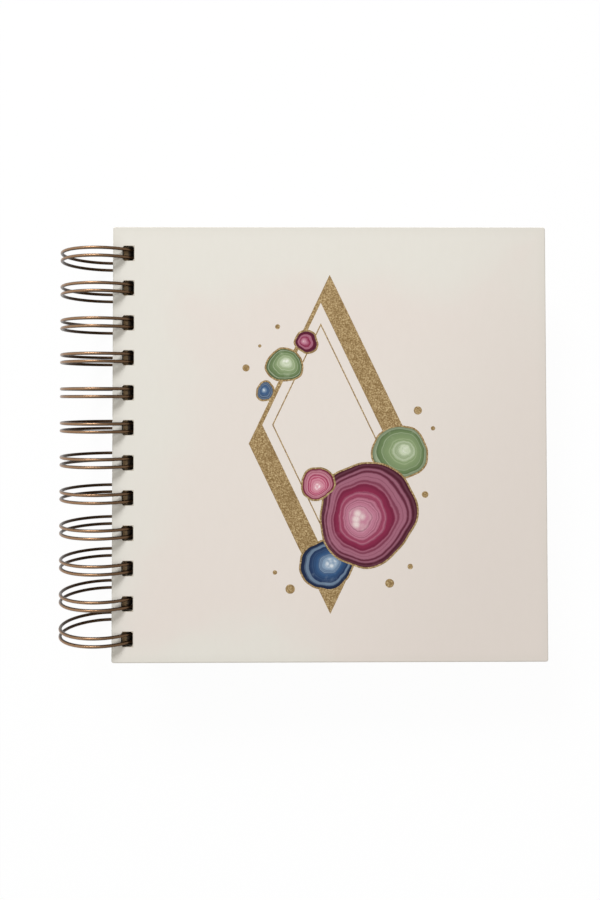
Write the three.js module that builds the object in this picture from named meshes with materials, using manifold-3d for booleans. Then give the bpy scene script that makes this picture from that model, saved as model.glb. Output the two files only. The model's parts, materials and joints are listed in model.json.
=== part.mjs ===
// An indexed notebook, lying closed on its back cover: two square hard covers, tabbed dividers
// with a block of leaves behind each, and one twin-loop wire through the holes along the spine.
// Millimetres, +Z up. The spine is at -X, the head of the book at +Y and the front cover on top.
// Every piece is drawn from the middle of the rings, where all covers and leaves turn.

import * as THREE from "three";
import { mergeVertices } from "three/addons/utils/BufferGeometryUtils.js";
import Module from "manifold-3d";

const wasm = await Module();
wasm.setup();

// Covers: a grey board in a printed wrap, which is turned in over the edges under a lining.
const COVER_WIDTH = 158;
const COVER_HEIGHT = 158;
const BOARD_THICKNESS = 1.7;
const WRAP_THICKNESS = 0.15;
const LINING_THICKNESS = 0.15;
const GLUE_LINE = 0.02; // room left between glued layers
const COVER_EDGE_RADIUS = 0.4; // how the wrap rounds the board's edges
const COVER_CORNER_RADIUS = 0.8;
const TURN_IN = 14; // how far the wrap reaches over the inside
const LINING_MARGIN = 3; // from the cover's edge to the lining's

// Leaves and dividers, one divider in front of each block of leaves.
const SECTIONS = 12;
const LEAVES_PER_SECTION = 10;
const LEAF_THICKNESS = 0.1125;
const DIVIDER_THICKNESS = 0.35;
const AIR = 0.02; // between neighbouring pieces of the stack
const HEAD_OVERHANG = 2.8; // cover past the leaves at the head and the tail
const TAB_OVERHANG = 2.5; // cover past the tabs at the fore-edge
const TAB_DEPTH = 8; // how far a tab stands out of the leaves
const TAB_SPACING = 0.6; // between neighbouring tabs
const TAB_CORNER = 2;

// Wire: a flat comb of loops, rolled into rings. Its runs lie inside the back cover.
const LOOP_PITCH = 12.7;
const HEAD_MARGIN = 8.5; // least distance from a cover's head or tail to the middle of a loop
const PATTERN_SHIFT = -0.5; // the punched pattern lies this far towards the tail
const RING_PROUD = 3.7; // from a cover's face to the middle of the wire at the rings' crown
const WIRE_RADIUS = 0.6;
const STRAND_OPENING = 1.63; // clear width between the two strands of a loop
const RUN_BEND_INSIDE = 0.4; // inside radius where a strand turns into a run
const NOSE_CLEARANCE = 0.3; // left between a loop's nose and the line of the runs
const END_STUB = 3; // the cut end past the last bend
const STEPS_PER_TURN = 24;
const WIRE_SIDES = 6;
const BEND_STEPS = 2;
const NOSE_STEPS = 4;

// Punched holes and the room that the wire has in them.
const HOLE_SPINE_MARGIN = 3.5; // from a cover's spine edge to its holes
const LEAF_SPINE_MARGIN = 3; // from a leaf's spine edge to its holes
const HOLE_SIDE_CLEARANCE = 0.68; // beside the twin strands
const HOLE_RING_CLEARANCE = 0.08; // before and behind the wire, where it crosses a cover
const HOLE_CORNER = 0.6;
const SEAM_CLEARANCE = 0.28; // above and below the runs, between the last leaf and the cover

const COLOURS = {
  wrap: 0xe2ded4,
  lining: 0xece8dd,
  board: 0x9a958b,
  divider: 0xe9dfc6,
  leaf: 0xf6f3ea,
  wire: 0x8b6240,
};

// Thicknesses through the closed book, and from them the rings.
const WRAPPED_THICKNESS = BOARD_THICKNESS + 2 * (WRAP_THICKNESS + GLUE_LINE);
const COVER_THICKNESS = WRAPPED_THICKNESS + GLUE_LINE + LINING_THICKNESS;
const BLOCK_THICKNESS = LEAVES_PER_SECTION * LEAF_THICKNESS;
const SECTION_THICKNESS = DIVIDER_THICKNESS + BLOCK_THICKNESS + 2 * AIR;
const SEAM_ROOM = 2 * (WIRE_RADIUS + SEAM_CLEARANCE);
const INSIDE_HALF = (SECTIONS * SECTION_THICKNESS + SEAM_ROOM) / 2;
const BOOK_HALF = INSIDE_HALF + COVER_THICKNESS;
const RING_RADIUS = BOOK_HALF + RING_PROUD;

// The rings are drawn in straight steps, half outside and half inside their true circle.
const HALF_STEP = Math.PI / STEPS_PER_TURN;
const CORNER_RADIUS = (2 * RING_RADIUS) / (1 + Math.cos(HALF_STEP));
const RING_OUTSIDE = CORNER_RADIUS + WIRE_RADIUS;
const RING_INSIDE = CORNER_RADIUS * Math.cos(HALF_STEP) - WIRE_RADIUS;
const STRAND_OFFSET = STRAND_OPENING / 2 + WIRE_RADIUS;

// The span of X in which the rings cross a sheet that lies between two heights.
function wireCrossing(low, high) {
  const far = Math.max(Math.abs(low), Math.abs(high));
  const near = low * high < 0 ? 0 : Math.min(Math.abs(low), Math.abs(high));
  return {
    from: Math.sqrt(RING_INSIDE ** 2 - far ** 2),
    to: Math.sqrt(RING_OUTSIDE ** 2 - near ** 2),
  };
}

const coverCrossing = wireCrossing(INSIDE_HALF, BOOK_HALF);
const COVER_HOLE_X = coverCrossing.from - HOLE_RING_CLEARANCE;
const HOLE_WIDTH = coverCrossing.to + HOLE_RING_CLEARANCE - COVER_HOLE_X;
const HOLE_HEIGHT = 2 * (STRAND_OFFSET + WIRE_RADIUS + HOLE_SIDE_CLEARANCE);
const COVER_SPINE_X = COVER_HOLE_X - HOLE_SPINE_MARGIN;
const COVER_FORE_X = COVER_SPINE_X + COVER_WIDTH;

const LOOPS = 1 + Math.floor((COVER_HEIGHT - 2 * HEAD_MARGIN) / LOOP_PITCH);
const loopMiddles = Array.from(
  { length: LOOPS },
  (_, i) => PATTERN_SHIFT + ((LOOPS - 1) / 2 - i) * LOOP_PITCH,
);

// Sections, from the front cover down. Where the rings bulge, they push the leaves towards the
// fore-edge, and the others stay knocked up level with the first.
const sections = Array.from({ length: SECTIONS }, (_, i) => {
  const top = INSIDE_HALF - i * SECTION_THICKNESS;
  const bottom = top - SECTION_THICKNESS;
  return { top, bottom, crossing: wireCrossing(bottom, top) };
});
const LEVEL_HOLE_X = Math.min(...sections.map((s) => s.crossing.from)) - HOLE_RING_CLEARANCE;
const LEAF_HEIGHT = COVER_HEIGHT - 2 * HEAD_OVERHANG;
const LEAF_WIDTH =
  COVER_FORE_X - TAB_OVERHANG - TAB_DEPTH - (LEVEL_HOLE_X - LEAF_SPINE_MARGIN);
const TAB_PITCH = LEAF_HEIGHT / SECTIONS;
for (const section of sections) {
  const pushedHoleX = section.crossing.to + HOLE_RING_CLEARANCE - HOLE_WIDTH;
  section.holeX = Math.max(LEVEL_HOLE_X, pushedHoleX);
}

function material(colour, roughness, metalness = 0) {
  return new THREE.MeshStandardMaterial({ color: colour, roughness, metalness });
}

const materials = {
  wrap: material(COLOURS.wrap, 0.55),
  lining: material(COLOURS.lining, 0.85),
  board: material(COLOURS.board, 0.95),
  divider: material(COLOURS.divider, 0.7),
  leaf: material(COLOURS.leaf, 0.9),
  wire: material(COLOURS.wire, 0.35, 0.9),
};

function addPiece(parent, name, geometry, finish) {
  const mesh = new THREE.Mesh(geometry, finish);
  mesh.name = name;
  parent.add(mesh);
  return mesh;
}

// A closed outline of straight lines and cut corners: each corner is [x, y, cut].
function outline(corners, PathType = THREE.Shape) {
  const path = new PathType();
  corners.forEach(([x, y, cut], i) => {
    const corner = new THREE.Vector2(x, y);
    const before = new THREE.Vector2(...corners.at(i - 1));
    const after = new THREE.Vector2(...corners[(i + 1) % corners.length]);
    const start = corner.clone().add(before.sub(corner).setLength(cut));
    const end = corner.clone().add(after.sub(corner).setLength(cut));
    if (i === 0) path.moveTo(start.x, start.y);
    else path.lineTo(start.x, start.y);
    if (cut > 0) path.quadraticCurveTo(corner.x, corner.y, end.x, end.y);
  });
  path.closePath();
  return path;
}

function rectangle(left, bottom, right, top, cut = 0, PathType = THREE.Shape) {
  const corners = [
    [left, bottom, cut],
    [right, bottom, cut],
    [right, top, cut],
    [left, top, cut],
  ];
  return outline(corners, PathType);
}

function holeOutlines(holeX, cut, PathType = THREE.Path) {
  return loopMiddles.map((y) =>
    rectangle(holeX, y - HOLE_HEIGHT / 2, holeX + HOLE_WIDTH, y + HOLE_HEIGHT / 2, cut, PathType),
  );
}

// A flat sheet from one height to another, punched where the shape has holes.
function sheet(shape, low, high, curveSegments = 1) {
  const settings = { depth: high - low, bevelEnabled: false, curveSegments };
  return new THREE.ExtrudeGeometry(shape, settings).translate(0, 0, low);
}

// A cover-sized plate, inset on all sides, with its corners and its edges rounded.
function coverPlate(inset, low, high) {
  const corner = COVER_CORNER_RADIUS - inset;
  const edge = COVER_EDGE_RADIUS - inset;
  const shape = rectangle(
    COVER_SPINE_X + inset,
    -COVER_HEIGHT / 2 + inset,
    COVER_FORE_X - inset,
    COVER_HEIGHT / 2 - inset,
    corner,
  );
  const settings = {
    depth: high - low - 2 * edge,
    bevelThickness: edge,
    bevelSize: edge,
    bevelOffset: -edge,
    bevelSegments: 2,
    curveSegments: 2,
  };
  return new THREE.ExtrudeGeometry(shape, settings).translate(0, 0, low + edge);
}

function solidOf(geometry) {
  geometry.deleteAttribute("normal");
  geometry.deleteAttribute("uv");
  const merged = mergeVertices(geometry);
  return new wasm.Manifold(
    new wasm.Mesh({
      numProp: 3,
      vertProperties: merged.attributes.position.array,
      triVerts: new Uint32Array(merged.index.array),
    }),
  );
}

function geometryOf(solid) {
  const { vertProperties, triVerts } = solid.getMesh();
  const geometry = new THREE.BufferGeometry();
  geometry.setAttribute("position", new THREE.BufferAttribute(vertProperties, 3));
  geometry.setIndex(new THREE.BufferAttribute(triVerts, 1));
  geometry.computeVertexNormals();
  return geometry;
}

function punches(low, high) {
  return holeOutlines(COVER_HOLE_X, HOLE_CORNER, THREE.Shape)
    .map((hole) => solidOf(sheet(hole, low, high)))
    .reduce((all, punch) => all.add(punch));
}

// The wrap: a rounded shell round the board, open inside the turned-in edges, and punched.
function wrapGeometry(low, high) {
  const pocket = solidOf(coverPlate(WRAP_THICKNESS, low + WRAP_THICKNESS, high - WRAP_THICKNESS));
  const window = rectangle(
    COVER_SPINE_X + TURN_IN,
    -COVER_HEIGHT / 2 + TURN_IN,
    COVER_FORE_X - TURN_IN,
    COVER_HEIGHT / 2 - TURN_IN,
  );
  const opening = solidOf(sheet(window, low - 1, low + BOARD_THICKNESS / 2));
  const shell = solidOf(coverPlate(0, low, high)).subtract(pocket).subtract(opening);
  return geometryOf(shell.subtract(punches(low - 1, high + 1)));
}

function boardGeometry(low, high) {
  const board = solidOf(coverPlate(WRAP_THICKNESS + GLUE_LINE, low, high));
  return geometryOf(board.subtract(punches(low - 1, high + 1)));
}

function liningGeometry(low, high) {
  const shape = rectangle(
    COVER_SPINE_X + LINING_MARGIN,
    -COVER_HEIGHT / 2 + LINING_MARGIN,
    COVER_FORE_X - LINING_MARGIN,
    COVER_HEIGHT / 2 - LINING_MARGIN,
  );
  shape.holes = holeOutlines(COVER_HOLE_X, HOLE_CORNER);
  return sheet(shape, low, high);
}

// A cover with its inside at height 0 and its printed face up.
function makeCover(name) {
  const cover = new THREE.Group();
  const wrapLow = LINING_THICKNESS + GLUE_LINE;
  const boardLow = wrapLow + WRAP_THICKNESS + GLUE_LINE;
  const wrap = wrapGeometry(wrapLow, COVER_THICKNESS);
  const board = boardGeometry(boardLow, boardLow + BOARD_THICKNESS);
  const lining = liningGeometry(0, LINING_THICKNESS);
  addPiece(cover, name + "_board", board, materials.board);
  addPiece(cover, name + "_wrap", wrap, materials.wrap);
  addPiece(cover, name + "_lining", lining, materials.lining);
  return cover;
}

// A divider: a card leaf with one tab at the fore-edge, each a step below the one in front.
function dividerShape(index, left, right) {
  const half = LEAF_HEIGHT / 2;
  const tabMiddle = half - (index + 0.5) * TAB_PITCH;
  const tabHalf = (TAB_PITCH - TAB_SPACING) / 2;
  return outline([
    [left, -half, 0],
    [right, -half, 0],
    [right, tabMiddle - tabHalf, 0],
    [right + TAB_DEPTH, tabMiddle - tabHalf, TAB_CORNER],
    [right + TAB_DEPTH, tabMiddle + tabHalf, TAB_CORNER],
    [right, tabMiddle + tabHalf, 0],
    [right, half, 0],
    [left, half, 0],
  ]);
}

function makeSection(section, index) {
  const number = String(index + 1).padStart(2, "0");
  const group = new THREE.Group();
  const left = section.holeX - LEAF_SPINE_MARGIN;
  const right = left + LEAF_WIDTH;
  const dividerTop = section.top - AIR / 2;
  const blockBottom = section.bottom + AIR / 2;

  const divider = dividerShape(index, left, right);
  divider.holes = holeOutlines(section.holeX, 0);
  const card = sheet(divider, dividerTop - DIVIDER_THICKNESS, dividerTop);
  addPiece(group, "index_divider_" + number, card, materials.divider);

  const leaf = rectangle(left, -LEAF_HEIGHT / 2, right, LEAF_HEIGHT / 2);
  leaf.holes = holeOutlines(section.holeX, 0);
  const block = sheet(leaf, blockBottom, blockBottom + BLOCK_THICKNESS);
  addPiece(group, "leaf_block_" + number, block, materials.leaf);
  return group;
}

// The wire's middle line as [along, across]: along the ring from the line of the runs, and along
// the spine. Each loop goes out on one strand, round its nose and back on the other.
function combLine() {
  const bend = RUN_BEND_INSIDE + WIRE_RADIUS;
  const turn = 2 * Math.PI * RING_RADIUS;
  const step = turn / STEPS_PER_TURN;
  const runAngle = -Math.asin((INSIDE_HALF - SEAM_ROOM / 2) / CORNER_RADIUS);
  const runAlong = runAngle * RING_RADIUS;
  const noseTop = turn - 2 * WIRE_RADIUS - NOSE_CLEARANCE;
  const strandEnd = noseTop - STRAND_OFFSET;
  const line = [];

  // Steps keep to whole divisions of the turn, so that corners lie at the crown and the sides.
  const first = Math.ceil((runAlong + bend) / step + 0.3);
  const last = Math.floor((runAlong + strandEnd) / step - 0.3);
  const strandSteps = [bend];
  for (let i = first; i <= last; i += 1) strandSteps.push(i * step - runAlong);
  strandSteps.push(strandEnd);

  const arc = (along, across, radius, from, to, steps) => {
    for (let i = 1; i < steps; i += 1) {
      const angle = from + ((to - from) * i) / steps;
      line.push([along + radius * Math.sin(angle), across + radius * Math.cos(angle)]);
    }
  };

  for (const middle of loopMiddles) {
    const outer = STRAND_OFFSET + bend;
    const stub = middle === loopMiddles[0] ? END_STUB : 0;
    line.push([0, middle + outer + stub]);
    if (stub) line.push([0, middle + outer]);
    arc(bend, middle + outer, bend, -Math.PI / 2, -Math.PI, BEND_STEPS);
    for (const along of strandSteps) line.push([along, middle + STRAND_OFFSET]);
    arc(strandEnd, middle, STRAND_OFFSET, 0, Math.PI, NOSE_STEPS);
    for (const along of [...strandSteps].reverse()) line.push([along, middle - STRAND_OFFSET]);
    arc(bend, middle - outer, bend, 0, -Math.PI / 2, BEND_STEPS);
    line.push([0, middle - outer]);
  }
  const tail = line.at(-1);
  line.push([tail[0], tail[1] - END_STUB]);

  return line.map(([along, across]) => {
    const angle = (along + runAlong) / RING_RADIUS;
    const out = new THREE.Vector3(Math.cos(angle), 0, Math.sin(angle));
    const point = out.clone().multiplyScalar(CORNER_RADIUS).setY(across);
    return { out, point };
  });
}

// A round wire swept along the line, with one corner of its section always facing outwards.
function wireGeometry(line) {
  const positions = [];
  const faces = [];
  line.forEach(({ out, point }, i) => {
    const before = line[Math.max(i - 1, 0)].point;
    const after = line[Math.min(i + 1, line.length - 1)].point;
    const arriving = point.clone().sub(before).normalize();
    const leaving = after.clone().sub(point).normalize();
    const forward = arriving.clone().add(leaving).normalize();
    const halfTurn = i > 0 && i < line.length - 1 ? arriving.angleTo(leaving) / 2 : 0;
    const side = forward.clone().cross(out).normalize();
    for (let k = 0; k < WIRE_SIDES; k += 1) {
      const angle = (2 * Math.PI * k) / WIRE_SIDES;
      const corner = point.clone();
      corner.addScaledVector(out, WIRE_RADIUS * Math.cos(angle));
      corner.addScaledVector(side, (WIRE_RADIUS * Math.sin(angle)) / Math.cos(halfTurn));
      positions.push(corner.x, corner.y, corner.z);
    }
  });
  for (let i = 0; i + 1 < line.length; i += 1) {
    for (let k = 0; k < WIRE_SIDES; k += 1) {
      const a = i * WIRE_SIDES + k;
      const b = i * WIRE_SIDES + ((k + 1) % WIRE_SIDES);
      faces.push(a, b, a + WIRE_SIDES);
      faces.push(b, b + WIRE_SIDES, a + WIRE_SIDES);
    }
  }
  const lastRing = (line.length - 1) * WIRE_SIDES;
  for (let k = 1; k + 1 < WIRE_SIDES; k += 1) {
    faces.push(0, k + 1, k);
    faces.push(lastRing, lastRing + k, lastRing + k + 1);
  }
  const geometry = new THREE.BufferGeometry();
  geometry.setAttribute("position", new THREE.Float32BufferAttribute(positions, 3));
  geometry.setIndex(faces);
  geometry.computeVertexNormals();
  return geometry;
}

// The least clear distance between stretches of the wire that aren't neighbours along it.
function leastGap(line) {
  const apart = 4 * WIRE_RADIUS + Math.PI * STRAND_OFFSET;
  const points = [];
  let travelled = 0;
  line.forEach(({ point }, i) => {
    const next = line[i + 1];
    points.push({ point, travelled });
    if (!next) return;
    const length = point.distanceTo(next.point);
    const middle = point.clone().lerp(next.point, 0.5);
    points.push({ point: middle, travelled: travelled + length / 2 });
    travelled += length;
  });
  let least = Infinity;
  points.forEach((a, i) => {
    for (const b of points.slice(i + 1)) {
      if (b.travelled - a.travelled < apart) continue;
      least = Math.min(least, a.point.distanceTo(b.point) - 2 * WIRE_RADIUS);
    }
  });
  return least;
}

const notebook = new THREE.Group();
const middleX = (COVER_FORE_X - RING_OUTSIDE) / 2;
notebook.position.set(-middleX, 0, RING_OUTSIDE);

const frontCover = makeCover("front_cover");
frontCover.position.z = INSIDE_HALF;
notebook.add(frontCover);

sections.forEach((section, i) => notebook.add(makeSection(section, i)));

// The back cover is the front one's mirror image below the stack.
const backCover = makeCover("back_cover");
backCover.position.z = -INSIDE_HALF;
backCover.scale.z = -1;
notebook.add(backCover);

const wireLine = combLine();
addPiece(notebook, "twin_loop_wire", wireGeometry(wireLine), materials.wire);
console.log("least gap of the wire to itself: " + leastGap(wireLine).toFixed(2) + " mm");

export default notebook;
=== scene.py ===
"""The looks of an indexed notebook: printed hard covers, tabbed dividers, single leaves and a
twin-loop wire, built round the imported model. Metres, +Z up, the spine at -X, its head at +Y."""

import json
import math
import random

import bmesh
import bpy
from mathutils import Matrix, Vector


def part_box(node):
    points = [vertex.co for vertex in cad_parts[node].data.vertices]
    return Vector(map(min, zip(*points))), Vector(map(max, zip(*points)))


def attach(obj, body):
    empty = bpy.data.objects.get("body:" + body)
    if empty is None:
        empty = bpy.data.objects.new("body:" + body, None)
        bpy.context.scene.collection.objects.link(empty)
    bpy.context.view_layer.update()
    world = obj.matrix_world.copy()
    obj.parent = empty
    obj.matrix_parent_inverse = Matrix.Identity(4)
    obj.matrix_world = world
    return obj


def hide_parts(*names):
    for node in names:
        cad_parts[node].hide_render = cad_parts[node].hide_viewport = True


bl_info = {
    "name": "Indexed Notebook",
    "version": (1, 0, 0),
    "blender": (4, 5, 0),
    "location": "View3D > Sidebar > Notebook",
    "description": "Builds the printed covers, dividers, leaves and wire of an indexed notebook",
    "category": "Object",
}

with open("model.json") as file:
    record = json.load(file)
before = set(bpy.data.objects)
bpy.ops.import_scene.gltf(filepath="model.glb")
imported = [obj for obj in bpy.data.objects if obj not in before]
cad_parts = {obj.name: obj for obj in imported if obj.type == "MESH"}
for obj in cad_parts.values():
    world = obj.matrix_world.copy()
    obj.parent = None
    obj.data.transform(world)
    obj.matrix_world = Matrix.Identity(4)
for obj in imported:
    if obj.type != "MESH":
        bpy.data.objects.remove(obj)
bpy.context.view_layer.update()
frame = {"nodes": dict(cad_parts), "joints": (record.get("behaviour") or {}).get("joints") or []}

MM = 0.001
PHOTO_WIDTH, PHOTO_HEIGHT = 600, 900

# Places that every piece is worked out from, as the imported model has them.
RING_AXIS = Vector(frame["joints"][0]["pos_m"])
WIRE_LOW, WIRE_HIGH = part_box("twin_loop_wire")
COVER_LOW, COVER_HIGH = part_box("front_cover_wrap")
COVER_MIDDLE = (COVER_LOW + COVER_HIGH) / 2
BACK_LOW, BACK_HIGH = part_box("back_cover_wrap")
NUMBERS = sorted(name[-2:] for name in frame["nodes"] if name.startswith("leaf_block_"))
CAD_STEPS_PER_TURN = 24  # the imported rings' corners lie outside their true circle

# Painted shade round each sheet's punched holes, standing in for the shadow down the stack.
HOLE_SHADE_RIM = (0.35 * MM, 1.1 * MM)  # the dark round a sheet's hole fades between these
WIRE_GAP = 0.03 * MM  # least room between a leaf and the wire
CORNER_STEPS = 6  # in the rounded corner of a sheet


def paint(code):
    """A colour written as on a paint chart, such as E4DED4, in the linear light of materials."""
    parts = [int(code[i : i + 2], 16) / 255 for i in (0, 2, 4)]
    return tuple(c / 12.92 if c <= 0.04045 else ((c + 0.055) / 1.055) ** 2.4 for c in parts)


def amount(name, description, default, **limits):
    """A number that a user may change. It is whole where its default is."""
    kind = bpy.props.IntProperty if isinstance(default, int) else bpy.props.FloatProperty
    return kind(name=name, description=description, default=default, **limits)


def length(name, description, default, **limits):
    """A length that a user may change."""
    return amount(name, description, default, unit="LENGTH", precision=5, **limits)


def angle(name, description, degrees):
    """An angle that a user may change."""
    return amount(name, description, math.radians(degrees), unit="ROTATION")


def colour(name, description, code):
    """A colour that a user may change."""
    return bpy.props.FloatVectorProperty(
        name=name,
        description=description,
        default=paint(code),
        subtype="COLOR",
        size=3,
        min=0,
        max=1,
    )


class CoverSettings(bpy.types.PropertyGroup):
    """The printed wrap, the grey board and the lining of both covers."""

    cream: colour("Cream", "Wrap towards its edges", "E7E4DB")
    blush: colour("Blush", "Wrap in the middle, and in its clouds", "E8DFD7")
    # Painted shade towards the lower right corner, where the light falls off.
    painted_corner_shade: colour("Deep blush", "Wrap towards its lower right corner", "D8CFC7")
    # Painted shade near the wrap's edges and on its rounded fold over the board.
    painted_edge_shade: colour("Fold shade", "Wrap where it folds round the board", "CFCBC0")
    rim_shade: colour("Rim shade", "Wrap at the punched holes", "B9AF9E")
    cloud_size: length("Cloud size", "Breadth of the soft clouds in the print", 38 * MM, min=0.001)
    lining: colour("Lining", "Paper inside the covers", "ECE7DB")
    lining_fleck: colour("Lining fleck", "Fibres in the lining", "D9D0BD")
    turn_in: length("Turn-in", "How far the wrap reaches over the inside", 14 * MM, min=0)
    board: colour("Board", "Grey board, seen in the punched holes", "6F675B")
    board_fibre: colour("Board fibre", "Fibres in the grey board", "4A4339")


class ArtSettings(bpy.types.PropertyGroup):
    """The design on the front cover: a foil diamond with painted agate slices over it."""

    half_width: length("Half width", "Diamond's middle to its side corners", 29.5 * MM, min=0.001)
    half_height: length("Half height", "Diamond's middle to its top", 61.5 * MM, min=0.001)
    broad: length("Broad stroke", "Width of the diamond's falling sides", 7.4 * MM, min=0.0001)
    fine: length("Fine stroke", "Width of the diamond's rising sides", 1.5 * MM, min=0.0001)
    hairline: length("Hairline", "Width of the thin diamond inside", 0.45 * MM, min=0.0001)
    hairline_gap: length("Hairline gap", "Between the diamond and the thin one", 3.2 * MM, min=0)
    rim: length("Agate rim", "Width of the foil round each agate", 0.62 * MM, min=0)
    film: length("Film", "Thickness of foil and of paint", 0.012 * MM, min=0.000001)
    foil: colour("Foil", "Gold foil", "A78F65")
    foil_dark: colour("Foil shade", "Gold foil where its grain is dark", "775D35")
    foil_light: colour("Foil light", "Gold foil where its grain is bright", "D0BC92")
    seed: amount("Seed", "Chooses the agates' outlines", 7)


class LeafSettings(bpy.types.PropertyGroup):
    """The single leaves, ten behind each divider."""

    count: amount("Leaves", "Leaves behind a divider", 10, min=1)
    thickness: length("Thickness", "One leaf", 0.098 * MM, min=0.00001)
    stray: length("Stray", "How far a leaf lies from its place, at most", 0.22 * MM, min=0)
    paper: colour("Paper", "Leaf paper", "F4F0E6")
    edge: colour("Cut edge", "Leaf paper at its cut edges", "DDD5C3")
    # Painted shade: this dark brown round the punched holes of leaves and dividers stands in for
    # the shadow down the stack.
    punched: colour("Punched edge", "Leaf paper in the punched holes", "40352B")
    rule: colour("Rule", "Printed lines", "B7BDBB")
    rule_pitch: length("Rule pitch", "Between printed lines", 7.1 * MM, min=0.001)
    rule_width: length("Rule width", "A printed line", 0.22 * MM, min=0)
    side_margin: length("Side margin", "Leaf's edge or holes to the lines", 9 * MM, min=0)
    head_margin: length("Head margin", "Leaf's head to the first line", 14 * MM, min=0)
    seed: amount("Seed", "Chooses how the leaves lie", 3)


class DividerSettings(bpy.types.PropertyGroup):
    """The card dividers, with a film and a number on each tab."""

    card_thickness: length("Card", "Thickness of a divider", 0.29 * MM, min=0.00001)
    film_thickness: length("Film", "Thickness of a tab with its film", 0.33 * MM, min=0.00001)
    film_reach: length("Film reach", "Film on the sheet beside its tab", 1.6 * MM, min=0)
    tab_radius: length("Tab corner", "Radius of a tab's corners", 2 * MM, min=0)
    number_height: length("Number", "Height of a number", 5 * MM, min=0.0001)
    card: colour("Card", "Divider card", "AA8E69")
    fleck: colour("Fleck", "Fibres in the card", "7A6041")
    number: colour("Number", "Printed numbers", "F5EFE2")
    sage: colour("Sage", "First tab and every fourth one after it", "8E9F7A")
    navy: colour("Navy", "Second tab and every fourth one after it", "263C5A")
    wine: colour("Wine", "Third tab and every fourth one after it", "5F1730")
    berry: colour("Berry", "Fourth tab and every fourth one after it", "9C3455")


class WireSettings(bpy.types.PropertyGroup):
    """The twin-loop wire, one round wire bent into a comb and rolled."""

    radius: length("Wire radius", "Half the wire's thickness", 0.6 * MM, min=0.0001)
    opening: length("Opening", "Clear width between the two strands", 1.63 * MM, min=0.0001)
    bend_inside: length("Bend", "Inside radius where a strand meets a run", 0.4 * MM, min=0)
    nose_clearance: length("Nose clearance", "Nose to the line of the runs", 0.3 * MM, min=0)
    end_stub: length("End stub", "Cut end past the last bend", 3 * MM, min=0)
    steps: amount("Steps", "Steps in a full ring", 96, min=24)
    sides: amount("Smoothness", "Bevel resolution", 4, min=1)
    bronze: colour("Bronze", "Bronze where it is worn bright", "99785B")
    patina: colour("Patina", "Bronze where it has darkened", "42301F")
    # Painted shade as well as patina: this darkest brown lies inside the rings and on their side
    # towards the book.
    dark_patina_and_shade: colour("Soot", "The darkest of the patina, inside the rings", "372719")


class StageSettings(bpy.types.PropertyGroup):
    """The camera, the floor and the light."""

    camera_x: length("Camera X", "Camera's place", -5.12 * MM)
    camera_y: length("Camera Y", "Camera's place", 17.16 * MM)
    camera_z: length("Camera Z", "Camera's place", 291.13 * MM)
    tilt: bpy.props.FloatVectorProperty(
        name="Tilt",
        description="Camera's turn from straight down",
        default=(math.radians(1.145), math.radians(-0.428), math.radians(-0.044)),
        subtype="EULER",
        size=3,
    )
    focal_pixels: amount("Focal length", "In pixels of the image", 721.85, min=1)
    centre_x: amount("Centre X", "Pixel that the camera points at", 290.84)
    centre_y: amount("Centre Y", "Pixel that the camera points at", 381.92)
    floor: colour("Floor", "Floor under the notebook", "FEFEFE")
    floor_glow: amount("Floor glow", "Share of plain white in the floor", 0.96, min=0, max=1)
    ambient: amount("Ambient", "Light from all round", 0.42, min=0)
    key: amount("Key", "Power of the key lamp", 32.0, min=0)
    key_turn: angle("Key turn", "Key lamp from the book's head to the left", 24)
    key_height: angle("Key height", "Key lamp above the table", 32)
    overhead: amount("Overhead", "Power of the lamp overhead", 7.0, min=0)
    overhead_turn: angle("Overhead turn", "Overhead lamp from the book's head to the left", 0)
    overhead_height: angle("Overhead height", "Overhead lamp above the table", 90)
    distance: length("Distance", "Lamps from the cover's middle", 2.0, min=0.3)
    lamp_colour: colour("Lamp colour", "Light of both lamps", "F9FBFF")


SETTINGS = {
    "notebook_covers": CoverSettings,
    "notebook_art": ArtSettings,
    "notebook_leaves": LeafSettings,
    "notebook_dividers": DividerSettings,
    "notebook_wire": WireSettings,
    "notebook_stage": StageSettings,
}


# Materials.


class Link:
    """A value on its way through a material. Arithmetic on it adds Math nodes."""

    def __init__(self, finish, socket):
        self.finish = finish
        self.socket = socket

    def __add__(self, other):
        return self.finish.math("ADD", self, other)

    def __radd__(self, other):
        return self.finish.math("ADD", other, self)

    def __sub__(self, other):
        return self.finish.math("SUBTRACT", self, other)

    def __rsub__(self, other):
        return self.finish.math("SUBTRACT", other, self)

    def __mul__(self, other):
        return self.finish.math("MULTIPLY", self, other)

    def __rmul__(self, other):
        return self.finish.math("MULTIPLY", other, self)

    def __abs__(self):
        return self.finish.math("ABSOLUTE", self)


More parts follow.
